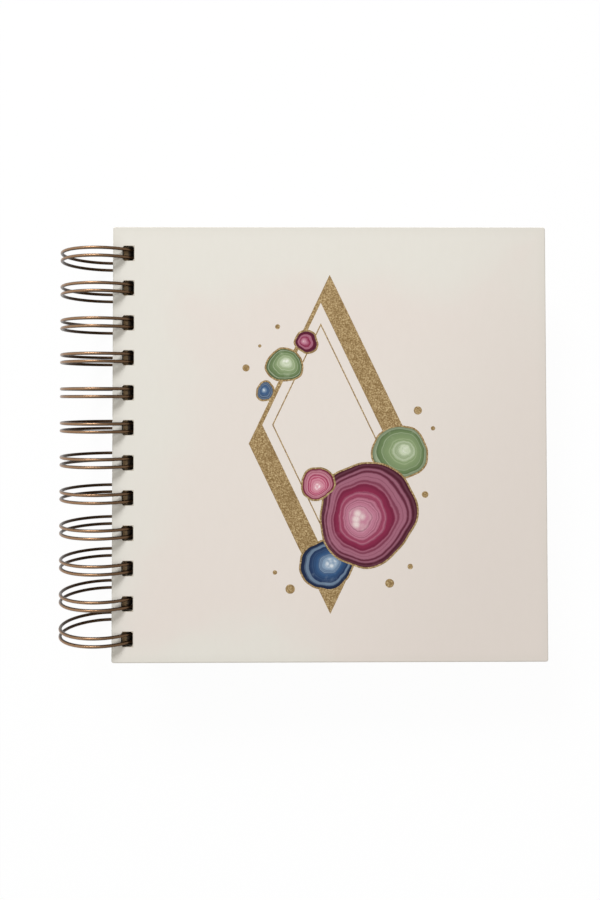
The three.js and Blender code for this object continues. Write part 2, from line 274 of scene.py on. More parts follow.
class Finish:
    """A material in the making, with one Principled shader at its end."""

    def __init__(self, name, **fixed):
        self.material = bpy.data.materials.new(name)
        self.material.use_nodes = True
        self.tree = self.material.node_tree
        self.tree.nodes.clear()
        self.shader = self.tree.nodes.new("ShaderNodeBsdfPrincipled")
        output = self.tree.nodes.new("ShaderNodeOutputMaterial")
        self.tree.links.new(self.shader.outputs[0], output.inputs[0])
        self.place = self.node("TexCoord", out="Object")
        self.normal = self.node("TexCoord", out="Normal")
        for socket, value in fixed.items():
            self.set(socket.replace("_", " "), value)

    @classmethod
    def of_world(cls, world):
        """The same for a world, which has no Principled shader."""
        finish = cls.__new__(cls)
        finish.tree = world.node_tree
        finish.tree.nodes.clear()
        return finish

    def join(self, socket, value):
        if isinstance(value, Link):
            self.tree.links.new(value.socket, socket)
        elif socket.type == "RGBA":
            socket.default_value = (*value[:3], 1)
        else:
            socket.default_value = value

    def node(self, kind, sockets=None, out=0, stops=None, **settings):
        """A node of any other kind: its settings first, then its sockets' values or links."""
        made = self.tree.nodes.new("ShaderNode" + kind)
        for name, value in settings.items():
            setattr(made, name, value)
        if stops:
            ramp = made.color_ramp.elements
            while len(ramp) < len(stops):
                ramp.new(1)
            for element, (position, shade) in zip(ramp, stops):
                element.position = position
                element.color = (*shade[:3], 1)
        for name, value in (sockets or {}).items():
            self.join(made.inputs[name], value)
        return Link(self, made.outputs[out])

    def math(self, operation, *values):
        return self.node("Math", dict(enumerate(values)), operation=operation)

    def vector(self, operation, *values, out="Vector"):
        return self.node("VectorMath", dict(enumerate(values)), out=out, operation=operation)

    def split(self, vector):
        return [self.node("SeparateXYZ", {0: vector}, out=axis) for axis in "XYZ"]

    def rise(self, value, low, high):
        """0 below low and 1 above high, with a soft step between them."""
        sockets = {"Value": value, "From Min": low, "From Max": high}
        return self.node("MapRange", sockets, interpolation_type="SMOOTHSTEP")

    def mix(self, factor, first, second, blend="MIX"):
        sockets = {0: factor, 6: first, 7: second}
        return self.node("Mix", sockets, out=2, data_type="RGBA", blend_type=blend)

    def noise(self, size, detail=2, roughness=0.5, vector=None):
        """Noise from 0 to 1 whose lumps are about as broad as size."""
        sockets = {
            "Vector": vector or self.place,
            "Scale": 1 / size,
            "Detail": detail,
            "Roughness": roughness,
        }
        return self.node("TexNoise", sockets)

    def stretched(self, scale, shift=(0, 0, 0)):
        """The object's own coordinates, stretched and shifted."""
        return self.node("Mapping", {"Vector": self.place, "Scale": scale, "Location": shift})

    def set(self, socket, value):
        self.join(self.shader.inputs[socket], value)

    def done(self, shade, roughness, height=None, depth=0):
        """The material, once it has its colour, its roughness and the bumps of its height."""
        self.set("Base Color", shade)
        self.set("Roughness", roughness)
        if height:
            sockets = {"Height": height, "Distance": depth, "Strength": 1}
            self.set("Normal", self.node("Bump", sockets))
        return self.material


def edge_distance(finish, low, high):
    """How far a place lies inside the nearest side of a box, seen from above."""
    x, y, _ = finish.split(finish.place)
    across = finish.math("MINIMUM", x - low.x, high.x - x)
    along = finish.math("MINIMUM", y - low.y, high.y - y)
    return finish.math("MINIMUM", across, along)


def hole_rim(finish, holes, near, far):
    """1 up to near from the closest of a row of punched holes, seen from above, 0 past far."""
    left, bottom, right, top = holes[0]
    pitch = holes[1][1] - bottom
    x, y, _ = finish.split(finish.place)
    row = finish.math("PINGPONG", y - (bottom + top) / 2, pitch / 2)
    across = abs(x - (left + right) / 2) - (right - left) / 2
    distance = finish.math("MAXIMUM", across, row - (top - bottom) / 2)
    return 1 - finish.rise(distance, near, far)


def cut_edge(finish):
    """1 on a sheet's cut edges and 0 on its faces."""
    _, _, up = finish.split(finish.normal)
    return 1 - finish.rise(abs(up), 0.4, 0.6)


def wrap_finish(settings, name, low, high, holes):
    """Matt laminated paper with soft clouds in its cream print, and painted shade along its edges
    and towards its lower right corner.
    """
    finish = Finish(name, Specular_IOR_Level=0.2)
    inside = edge_distance(finish, low, high)
    clouds = finish.noise(settings.cloud_size, 3, 0.55)
    broad = finish.noise(settings.cloud_size * 2.6, 1)
    x, y, _ = finish.split(finish.place)
    middle = (low + high) / 2
    # A gradient towards the lower right corner: it moves the blush that way and carries painted
    # shade there.
    toward_shaded_corner = finish.rise((x - middle.x) - 0.4 * (y - middle.y), 0, 85 * MM)
    inwards = inside - 0.14 * (y - middle.y)
    warmth = finish.rise(inwards + 40 * MM * (clouds - 0.5) + 34 * MM * toward_shaded_corner, 1 * MM, 34 * MM)
    warmth = warmth * (0.62 + 0.9 * (broad - 0.3))
    base = finish.mix(finish.rise(warmth, 0.05, 0.95), settings.cream, settings.blush)
    # Painted shade: darker towards the lower right corner, as the lamp's light falls off.
    base = finish.mix(0.4 * toward_shaded_corner, base, settings.painted_corner_shade)
    streaks = finish.noise(2.6 * MM, 4, 0.65, finish.stretched((1, 0.35, 1)))
    base = finish.mix(0.10 * streaks, base, paint("C8BFAF"))
    # Painted shade within a few millimetres of every edge.
    base = finish.mix(0.14 * (1 - finish.rise(inside, 0.6 * MM, 4 * MM)), base, settings.painted_edge_shade)
    # Painted shade on the narrow rounded fold at the edge, which is also a little rougher.
    fold_and_shade = 1 - finish.rise(inside + 0.5 * MM * (clouds - 0.5), 0.15 * MM, 0.75 * MM)
    base = finish.mix(0.55 * fold_and_shade, base, settings.painted_edge_shade)
    rim = hole_rim(finish, holes, 0.02 * MM, 0.30 * MM)
    base = finish.mix(0.85 * rim, base, settings.rim_shade)
    grain = finish.noise(0.32 * MM, 3, 0.6)
    roughness = 0.62 + 0.14 * grain + 0.08 * fold_and_shade
    return finish.done(base, roughness, grain + 0.5 * streaks, 0.010 * MM)


def lining_finish(settings, low, high):
    """Uncoated paper, with the edge of the turned-in wrap showing through as a low ridge, and
    painted shade along that ridge.
    """
    finish = Finish("lining_paper", Specular_IOR_Level=0.25, Sheen_Weight=0.08)
    inside = edge_distance(finish, low, high)
    fibres = finish.noise(0.9 * MM, 5, 0.7, finish.stretched((1, 2.4, 1)))
    tooth = finish.noise(0.25 * MM, 2)
    hairs = finish.noise(1.6 * MM, 2, vector=finish.stretched((0.5, 3, 1)))
    flecks = finish.rise(hairs, 0.61, 0.69)
    ridge = finish.rise(inside, settings.turn_in - 0.5 * MM, settings.turn_in + 0.1 * MM)
    painted_ridge_shade = 1 - finish.rise(abs(inside - settings.turn_in), 0, 0.8 * MM)
    base = finish.mix(0.22 * fibres, settings.lining, settings.lining_fleck)
    base = finish.mix(0.5 * flecks, base, settings.lining_fleck)
    # Painted shade along the ridge of the turned-in wrap.
    base = finish.mix(0.28 * painted_ridge_shade, base, paint("BFB6A4"))
    height = 0.12 * tooth + 0.10 * fibres - ridge
    return finish.done(base, 0.80 + 0.12 * tooth, height, 0.14 * MM)


def board_finish(settings):
    """Pressed grey board: layered fibres with dark specks."""
    finish = Finish("grey_board", Specular_IOR_Level=0.2)
    layers = finish.noise(0.5 * MM, 4, 0.7, finish.stretched((1, 1, 4)))
    specks = finish.rise(finish.noise(0.35 * MM, 2), 0.62, 0.72)
    base = finish.mix(layers, settings.board_fibre, settings.board)
    base = finish.mix(0.6 * specks, base, paint("2E2A24"))
    return finish.done(base, 0.85 + 0.1 * layers, layers, 0.06 * MM)


def foil_finish(settings):
    """Gold foil pressed on paper, with its fine sandy grain and a few darker patches."""
    finish = Finish("gold_foil", Metallic=0.6, Specular_IOR_Level=0.4)
    patches = finish.noise(7 * MM, 3, 0.6)
    grain = finish.noise(0.55 * MM, 3, 0.75)
    base = finish.mix(finish.rise(grain, 0.38, 0.60), settings.foil_dark, settings.foil)
    base = finish.mix(0.8 * finish.rise(grain, 0.54, 0.70), base, settings.foil_light)
    base = finish.mix(0.45 * finish.rise(patches, 0.48, 0.75), base, settings.foil_dark)
    return finish.done(base, 0.52 + 0.2 * grain, grain, 0.02 * MM)


def agate_finish(name, radius, shades, seed):
    """Watercolour agate: uneven bands that follow its outline in, round a heart of crystals."""
    finish = Finish(name, Specular_IOR_Level=0.2)
    heart, pale, _, deep, dark = [paint(shade) for shade in shades]
    moved = finish.stretched((1, 1, 1), (seed * 0.37, seed * 0.21, 0))
    outward = finish.node("Attribute", out="Fac", attribute_name="outward")
    wobble = 0.55 * (finish.noise(1.1 * radius, 2, 0.5, moved) - 0.5)
    wobble = wobble + 0.12 * (finish.noise(0.25 * radius, 3, 0.6, moved) - 0.5)
    depth = outward + wobble * (1.15 - outward)
    stops = [(place, paint(shade)) for place, shade in zip((0.05, 0.2, 0.45, 0.74, 1), shades)]
    base = finish.node("ValToRGB", {"Fac": depth}, stops=stops)
    broad = finish.noise(1, 1, 0.5, finish.node("CombineXYZ", {"X": depth * 9, "Y": 3.1 * seed}))
    base = finish.mix(0.55 * finish.rise(broad, 0.50, 0.62), base, pale)
    fine = finish.noise(1, 2, 0.7, finish.node("CombineXYZ", {"X": depth * 30, "Y": 1.7 * seed}))
    base = finish.mix(0.45 * finish.rise(fine, 0.52, 0.60), base, deep)
    crystal = {"Vector": moved, "Scale": 1 / (0.16 * radius)}
    cells = finish.node("TexVoronoi", crystal, out="Distance")
    crystals = finish.mix(finish.rise(cells, 0.15, 0.75), heart, pale)
    base = finish.mix(1 - finish.rise(depth, 0.10, 0.22), base, crystals)
    wash = finish.noise(0.7 * radius, 4, 0.7, moved)
    base = finish.mix(0.28 * finish.rise(wash, 0.55, 0.75), base, pale)
    base = finish.mix(0.6 * finish.rise(outward, 0.86, 1.0), base, dark)
    grain = finish.noise(0.30 * MM, 3, 0.7)
    base = finish.mix(0.22 * finish.rise(grain, 0.5, 0.7), base, deep)
    return finish.done(base, 0.64 + 0.12 * grain, grain, 0.008 * MM)


def leaf_finish(settings, low, high, holes):
    """Writing paper with printed rules on both faces, darker at its cut edges, with painted shade
    round its punched holes.
    """
    finish = Finish("leaf_paper", Specular_IOR_Level=0.25)
    x, y, _ = finish.split(finish.place)
    fibres = finish.noise(0.7 * MM, 4, 0.65, finish.stretched((1, 1.8, 1)))
    leaves = finish.noise(0.16 * MM, 1, vector=finish.stretched((0.004, 0.004, 1)))
    edge = finish.mix(finish.rise(leaves, 0.35, 0.65), settings.edge, paint("F0EADD"))
    base = finish.mix(0.10 * fibres, settings.paper, settings.edge)
    first = high.y - settings.head_margin
    last = low.y + 0.6 * settings.head_margin
    from_rule = finish.math("PINGPONG", y - first, settings.rule_pitch / 2)
    line = 1 - finish.rise(from_rule, 0.3 * settings.rule_width, 0.7 * settings.rule_width)
    line = line * finish.math("LESS_THAN", y, first + settings.rule_width)
    line = line * finish.math("GREATER_THAN", y, last)
    line = line * finish.math("GREATER_THAN", x, holes[0][2] + settings.side_margin)
    line = line * finish.math("LESS_THAN", x, high.x - settings.side_margin)
    base = finish.mix(line * (0.7 + 0.4 * fibres), base, settings.rule)
    base = finish.mix(cut_edge(finish), base, edge)
    # Painted shade round the punched holes, standing in for the shadow down the stack.
    base = finish.mix(hole_rim(finish, holes, *HOLE_SHADE_RIM), base, settings.punched)
    return finish.done(base, 0.78 + 0.14 * fibres, fibres, 0.02 * MM)


def card_finish(settings, punched, holes):
    """Divider card with short fibres in it."""
    finish = Finish("divider_card", Specular_IOR_Level=0.3)
    tooth = finish.noise(0.5 * MM, 4, 0.65)
    hairs = finish.noise(1.8 * MM, 3, 0.6, finish.stretched((0.35, 2.8, 1)))
    crossed = finish.noise(1.8 * MM, 3, 0.6, finish.stretched((2.8, 0.35, 1), (0.3, 0.1, 0)))
    fleck = finish.math("MAXIMUM", finish.rise(hairs, 0.60, 0.68), finish.rise(crossed, 0.60, 0.68))
    pale_fleck = finish.rise(finish.noise(1.1 * MM, 2, 0.5), 0.64, 0.70)
    clouds = finish.noise(14 * MM, 2)
    base = finish.mix(0.35 * tooth + 0.3 * (clouds - 0.5), settings.card, paint("957A57"))
    base = finish.mix(0.5 * fleck, base, settings.fleck)
    base = finish.mix(0.5 * pale_fleck, base, paint("CDB58F"))
    base = finish.mix(0.35 * cut_edge(finish), base, paint("7F6748"))
    # Painted shade round the punched holes, standing in for the shadow down the stack.
    base = finish.mix(hole_rim(finish, holes, *HOLE_SHADE_RIM), base, punched)
    return finish.done(base, 0.66 + 0.16 * tooth, tooth, 0.03 * MM)


def tab_finish(name, shade):
    """Printed tab under clear film, with a faint cloudiness and fine scuffs."""
    finish = Finish(name, Coat_Weight=0.35, Coat_Roughness=0.18, Specular_IOR_Level=0.4)
    cloud = finish.noise(2.4 * MM, 4, 0.65)
    scuffs = finish.noise(0.9 * MM, 3, 0.7, finish.stretched((0.25, 2.2, 1)))
    pale = [0.82 * c + 0.18 for c in shade]
    deep = [0.72 * c for c in shade]
    base = finish.mix(finish.rise(cloud, 0.3, 0.75), deep, shade)
    base = finish.mix(0.35 * finish.rise(scuffs, 0.6, 0.78), base, pale)
    return finish.done(base, 0.34 + 0.2 * scuffs, cloud, 0.01 * MM)


def ink_finish(settings):
    """Matt printing ink, a little uneven."""
    finish = Finish("number_ink", Specular_IOR_Level=0.3)
    patchy = finish.noise(0.5 * MM, 3, 0.7)
    base = finish.mix(0.4 * finish.rise(patchy, 0.5, 0.8), settings.number, paint("CFC4AE"))
    return finish.done(base, 0.5 + 0.2 * patchy)


def bronze_finish(settings):
    """Antique bronze: rubbed bright along the rings' outside and dark with patina on their flanks,
    with painted shade inside the rings and on their side towards the book.
    """
    finish = Finish("antique_bronze", Metallic=0.9, Specular_IOR_Level=0.5)
    from_axis = finish.vector("SUBTRACT", finish.place, tuple(RING_AXIS))
    outward = finish.vector("NORMALIZE", finish.vector("MULTIPLY", from_axis, (1, 0, 1)))
    facing = finish.vector("DOT_PRODUCT", finish.normal, outward, out="Value")
    towards_book, _, _ = finish.split(outward)
    mottle = finish.noise(1.1 * MM, 4, 0.7)
    streaks = finish.noise(0.35 * MM, 3, 0.6)
    # Painted shade: the rings darken on their side towards the book, standing in for the dark they
    # reflect there. It also dims the rubbed bronze.
    book_side_shade = finish.rise(towards_book + 0.2 * (mottle - 0.5), -0.32, 0.22)
    rubbed = finish.rise(facing + 0.3 * (mottle - 0.5), 0.5, 1) * (1 - 0.5 * book_side_shade)
    # Painted shade inside the rings, where they face the book, laid on with the darkest patina.
    inner = 1 - finish.rise(facing + 0.3 * (mottle - 0.5), -0.8, 0.1)
    base = finish.mix(rubbed, settings.patina, settings.bronze)
    # The darkest patina, as painted shade inside the rings and on their book side.
    base = finish.mix(finish.math("MAXIMUM", 0.7 * inner, 0.4 * book_side_shade), base, settings.dark_patina_and_shade)
    base = finish.mix(0.35 * finish.rise(streaks, 0.55, 0.75), base, settings.patina)
    roughness = 0.22 + 0.12 * streaks + 0.10 * inner
    return finish.done(base, roughness, streaks + mottle, 0.006 * MM)


def floor_finish(settings):
    """A floor that shows as plain white but keeps the notebook's shadow."""
    finish = Finish("studio_floor", Base_Color=settings.floor)
    grain = finish.noise(30 * MM, 2)
    finish.set("Roughness", 0.85 + 0.1 * grain)
    tree = finish.tree
    seen = seen_directly(finish)
    glow = tree.nodes.new("ShaderNodeEmission")
    blend = tree.nodes.new("ShaderNodeMixShader")
    finish.join(blend.inputs[0], seen * settings.floor_glow)
    tree.links.new(finish.shader.outputs[0], blend.inputs[1])
    tree.links.new(glow.outputs[0], blend.inputs[2])
    output = next(node for node in tree.nodes if node.type == "OUTPUT_MATERIAL")
    tree.links.new(blend.outputs[0], output.inputs[0])
    return finish.material


def seen_directly(finish):
    """1 on camera, glossy and transmission rays, and 0 on the rays that light the notebook."""
    kinds = ("Camera", "Glossy", "Transmission")
    rays = [finish.node("LightPath", out=f"Is {kind} Ray") for kind in kinds]
    return finish.math("MAXIMUM", finish.math("MAXIMUM", rays[0], rays[1]), rays[2])


# Shapes.


def new_object(name, data):
    """A new object in the scene."""
    made = bpy.data.objects.new(name, data)
    bpy.context.scene.collection.objects.link(made)
    return made


def finished_mesh(name, bm, finish):
    """The mesh of a bmesh, which is freed, with its finish."""
    mesh = bpy.data.meshes.new(name)
    bm.to_mesh(mesh)
    bm.free()
    mesh.materials.append(finish)
    return mesh


def new_piece(name, bm, finish, body, nodes=()):
    """A piece that rides on a body and stands for CAD nodes."""
    bmesh.ops.recalc_face_normals(bm, faces=bm.faces)
    piece = new_object(name, finished_mesh(name, bm, finish))
    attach(piece, body)
    if nodes:
        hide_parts(*nodes)


def mesh_from_curve(curve):
    """The mesh of a bevelled curve or of a text."""
    holder = new_object(curve.name, curve)
    bpy.context.view_layer.update()
    drawn = holder.evaluated_get(bpy.context.evaluated_depsgraph_get())
    mesh = bpy.data.meshes.new_from_object(drawn)
    bpy.data.objects.remove(holder)
    return mesh


def parts_of(geometry, kind):
    """The corners, the edges or the faces among what a bmesh operator gives back."""
    return [part for part in geometry if isinstance(part, kind)]


def dress(node, finish):
    """Gives a CAD node that stays in view its finish."""
    mesh = frame["nodes"][node].data
    mesh.materials.clear()
    mesh.materials.append(finish)


def drawn_loop(bm, points, height, radius=0, rounded=()):
    """A closed loop of edges at one height, with the corners of the given numbers rounded."""
    corners = [bm.verts.new((x, y, height)) for x, y in points]
    edges = [bm.edges.new((corners[i - 1], corners[i])) for i in range(len(corners))]
    if not rounded:
        return edges
    known = set(bm.edges) - set(edges)
    bmesh.ops.bevel(
        bm,
        geom=[corners[i] for i in rounded],
        offset=radius,
        offset_type="OFFSET",
        segments=CORNER_STEPS,
        profile=0.5,
        affect="VERTICES",
        material=-1,
    )
    return [edge for edge in bm.edges if edge not in known]


def rectangle_points(left, bottom, right, top):
    return [(left, bottom), (right, bottom), (right, top), (left, top)]


def thickened(bm, faces, thickness):
    """Grows flat faces upwards into a closed plate."""
    grown = bmesh.ops.extrude_face_region(bm, geom=faces)["geom"]
    raised = parts_of(grown, bmesh.types.BMVert)
    bmesh.ops.translate(bm, verts=raised, vec=(0, 0, thickness))


def filled_plate(bm, edges, thickness):
    """A plate inside a loop of edges, open at any loops inside it."""
    filled = bmesh.ops.triangle_fill(
        bm, edges=edges, use_beauty=True, use_dissolve=False, normal=(0, 0, 1)
    )
    thickened(bm, parts_of(filled["geom"], bmesh.types.BMFace), thickness)


def punched_sheet(outline, holes, bottom, thickness, radius=0, rounded=()):
    """A flat sheet, whose corners of the given numbers are rounded."""
    bm = bmesh.new()
    edges = drawn_loop(bm, outline, bottom, radius, rounded)
    for hole in holes:
        edges += drawn_loop(bm, rectangle_points(*hole), bottom)
    filled_plate(bm, edges, thickness)
    return bm


def corners_of(node):
    """The corners of a CAD node."""
    return [vertex.co for vertex in frame["nodes"][node].data.vertices]


def punched_block(node):
    """A punched block's lowest and highest corner, and its holes as left, bottom, right, top."""
    corners = corners_of(node)
    across = sorted({round(corner.x, 6) for corner in corners})
    along = sorted({round(corner.y, 6) for corner in corners})
    rows = list(zip(along[1:-1:2], along[2:-1:2]))
    low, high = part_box(node)
    return low, high, [(across[1], bottom, across[2], top) for bottom, top in rows]


def cover_holes():
    """The holes of the front cover, in the place of the leaves' but as wide as its own."""
    low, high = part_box("front_cover_lining")
    across = [corner.x for corner in corners_of("front_cover_lining")]
    inner = [x for x in across if low.x + MM < x < high.x - MM]
    rows = punched_block("leaf_block_01")[2]
    return [(min(inner), bottom, max(inner), top) for _, bottom, _, top in rows]


# The stage, and the pieces with one operator for each kind.


# The lamps' fronts in metres: width and height.
LAMP_FRONTS = {"key": (0.8, 0.5), "overhead": (1.2, 1.2)}
AMBIENT_SHADE = (1, 0.96, 0.9)
WHITE = (1, 1, 1)
FLOOR_REACH = 2.5  # metres from its middle to its sides
FLOOR_CELLS = 8
SENSOR_WIDTH = 36  # millimetres, as Blender takes them
NEAREST = 0.01  # metres from the camera to what it still sees


class NOTEBOOK_OT_stage(bpy.types.Operator):
    """Set up the camera, the floor and the light"""

    bl_idname = "notebook.stage"
    bl_label = "Stage"

    def execute(self, context):
        settings = context.scene.notebook_stage
        self.make_camera(context, settings)
        self.make_floor(settings)
        self.make_light(context, settings)
        context.scene.view_settings.view_transform = "Standard"
        return {"FINISHED"}

    def make_camera(self, context, settings):
        camera = bpy.data.cameras.new("photo_camera")
        camera.sensor_width = SENSOR_WIDTH
        camera.lens = settings.focal_pixels * SENSOR_WIDTH / PHOTO_HEIGHT
        camera.shift_x = (PHOTO_WIDTH / 2 - settings.centre_x) / PHOTO_HEIGHT
        camera.shift_y = (settings.centre_y - PHOTO_HEIGHT / 2) / PHOTO_HEIGHT
        camera.clip_start = NEAREST
        holder = new_object("photo_camera", camera)
        holder.location = (settings.camera_x, settings.camera_y, settings.camera_z)
        holder.rotation_euler = settings.tilt
        context.scene.camera = holder

    def make_floor(self, settings):
        """The book lies on its rings and on the back cover's fore-edge, so the floor slopes."""
        radius = RING_AXIS.z - WIRE_LOW.z
        across = BACK_HIGH.x - RING_AXIS.x
        down = RING_AXIS.z - BACK_LOW.z
        slope = math.asin(radius / math.hypot(across, down)) - math.atan2(down, across)
        turn = Matrix.Rotation(-slope, 4, "Y")
        middle = Vector((BACK_HIGH.x, 0, BACK_LOW.z))
        bm = bmesh.new()
        bmesh.ops.create_grid(
            bm, x_segments=FLOOR_CELLS, y_segments=FLOOR_CELLS, size=FLOOR_REACH
        )
        bmesh.ops.transform(bm, matrix=Matrix.Translation(middle) @ turn, verts=bm.verts)
        floor = new_object("floor", finished_mesh("floor", bm, floor_finish(settings)))

    def make_light(self, context, settings):
        """Two lamps with flat fronts that face the cover's middle, and the world."""
        for name, (width, height) in LAMP_FRONTS.items():
            light = bpy.data.lights.new(name, "AREA")
            light.shape = "RECTANGLE"
            light.size = width
            light.size_y = height
            light.energy = getattr(settings, name)
            light.color = settings.lamp_colour
            lamp = new_object(name, light)
            turn = Matrix.Rotation(getattr(settings, name + "_turn"), 3, "Z")
            raised = Matrix.Rotation(getattr(settings, name + "_height"), 3, "X")
            lamp.location = COVER_MIDDLE + turn @ raised @ Vector((0, settings.distance, 0))
            lamp.rotation_euler = (COVER_MIDDLE - lamp.location).to_track_quat("-Z", "Y").to_euler()
        self.make_world(context, settings)

    def make_world(self, context, settings):
        """Plain white to look at, and a softer light on the notebook from all round."""
        world = bpy.data.worlds.new("studio")
        world.use_nodes = True
        context.scene.world = world
        room = Finish.of_world(world)
        seen = seen_directly(room)
        strength = settings.ambient + (1 - settings.ambient) * seen
        shade = room.mix(seen, AMBIENT_SHADE, WHITE)
        output = room.tree.nodes.new("ShaderNodeOutputWorld")
        background = room.node("Background", {"Color": shade, "Strength": strength})
        room.tree.links.new(background.socket, output.inputs[0])


class NOTEBOOK_OT_covers(bpy.types.Operator):
    """Give the wraps, the boards and the linings of both covers their papers"""

    bl_idname = "notebook.covers"
    bl_label = "Covers"

    def execute(self, context):
        settings = context.scene.notebook_covers
        board = board_finish(settings)
        lining = lining_finish(settings, COVER_LOW, COVER_HIGH)
        wrap = wrap_finish(settings, "printed_wrap", COVER_LOW, COVER_HIGH, cover_holes())
        for cover in ("front_cover", "back_cover"):
            dress(cover + "_wrap", wrap)
            dress(cover + "_board", board)
            dress(cover + "_lining", lining)
        return {"FINISHED"}


# Shades from the heart of an agate to its rim.
WINE_SHADES = ("EAD6D3", "C48499", "8E2A4C", "5E132F", "3E0A1C")
NAVY_SHADES = ("D6DEE4", "8CA3BA", "34567F", "182C4F", "0C1730")
SAGE_SHADES = ("EDF0E3", "C9D4B6", "93A57A", "6C8156", "48593A")
BERRY_SHADES = ("F5E3E3", "E0A6B3", "B74A6C", "92304F", "64152F")

# Agates in millimetres from the middle of the cover: name, x, y, radius, shades, level.
AGATES = (
    ("sage_agate", 25.5, -3.0, 10.0, SAGE_SHADES, 1),
    ("navy_agate", -1.2, -43.6, 9.7, NAVY_SHADES, 2),
    ("wine_agate", 13.5, -25.5, 18.5, WINE_SHADES, 3),
    ("berry_agate", -4.5, -14.5, 6.2, BERRY_SHADES, 4),
    ("small_sage_agate", -16.5, 28.5, 6.6, SAGE_SHADES, 1),
    ("small_wine_agate", -8.5, 37.0, 4.4, WINE_SHADES, 2),
    ("small_navy_agate", -23.5, 19.0, 3.6, NAVY_SHADES, 2),
)

# Foil drops in millimetres from the middle of the cover: x, y, radius.
FOIL_DROPS = (
    (-14.5, -52.5, 1.7),
    (-20.0, -46.5, 0.8),
    (34.5, -18.5, 1.2),
    (37.5, 5.5, 0.8),
    (32.0, 12.0, 1.5),
    (29.0, -44.5, 1.0),
    (21.5, -50.5, 1.6),
    (-30.5, 27.5, 1.3),
    (-19.0, 42.5, 0.9),
    (-25.5, 35.5, 0.6),
)
DROP_POINTS = 32

# Waves in an agate's outline: how many go round it, and their height as a share of its radius.
WAVES = ((2, 0.075), (3, 0.05), (5, 0.024), (8, 0.011), (13, 0.006))
OUTLINE_POINTS = 120
AGATE_STEPS = 12  # from the rim to the heart
HEART_SHIFT = 0.22  # of the radius, off the middle


class NOTEBOOK_OT_foil_diamond(bpy.types.Operator):
    """Press the foil diamond, its hairline and the drops on the front cover"""

    bl_idname = "notebook.foil_diamond"
    bl_label = "Foil diamond"

    def execute(self, context):
        settings = context.scene.notebook_art
        finish = foil_finish(settings)
        bm = bmesh.new()
        outer = self.diamond(settings, 0, 0)
        inner = self.diamond(settings, settings.fine, settings.broad)
        self.band(bm, outer, inner, settings.film)
        gap = settings.hairline_gap
        outer = self.diamond(settings, settings.fine + gap, settings.broad + gap)
        gap += settings.hairline
        inner = self.diamond(settings, settings.fine + gap, settings.broad + gap)
        self.band(bm, outer, inner, settings.film)
        new_piece("foil_diamond", bm, finish, "front_cover")

        bm = bmesh.new()
        for x, y, radius in FOIL_DROPS:
            spot = COVER_MIDDLE + Vector((x * MM, y * MM, 0))
            spot.z = COVER_HIGH.z
            drop = bmesh.ops.create_circle(
                bm,
                cap_ends=True,
                segments=DROP_POINTS,
                radius=radius * MM,
                matrix=Matrix.Translation(spot),
            )
            thickened(bm, drop["verts"][0].link_faces[:], settings.film)
        new_piece("foil_drops", bm, finish, "front_cover")
        return {"FINISHED"}

    def diamond(self, settings, rising, falling):
        """The diamond's corners from its right one, its sides set inwards by two amounts."""
        wide, tall = settings.half_width, settings.half_height
        slant = math.hypot(1 / wide, 1 / tall)
        rising, falling = 1 - rising * slant, 1 - falling * slant
        side, point = (rising + falling) / 2, (falling - rising) / 2
        return [
            (wide * side, tall * point),
            (wide * point, tall * side),
            (-wide * side, -tall * point),
            (-wide * point, -tall * side),
        ]

    def band(self, bm, outer, inner, film):
        loops = []
        for points in (outer, inner):
            middle = [(COVER_MIDDLE.x + x, COVER_MIDDLE.y + y) for x, y in points]
            loops += drawn_loop(bm, middle, COVER_HIGH.z)
        filled_plate(bm, loops, film)


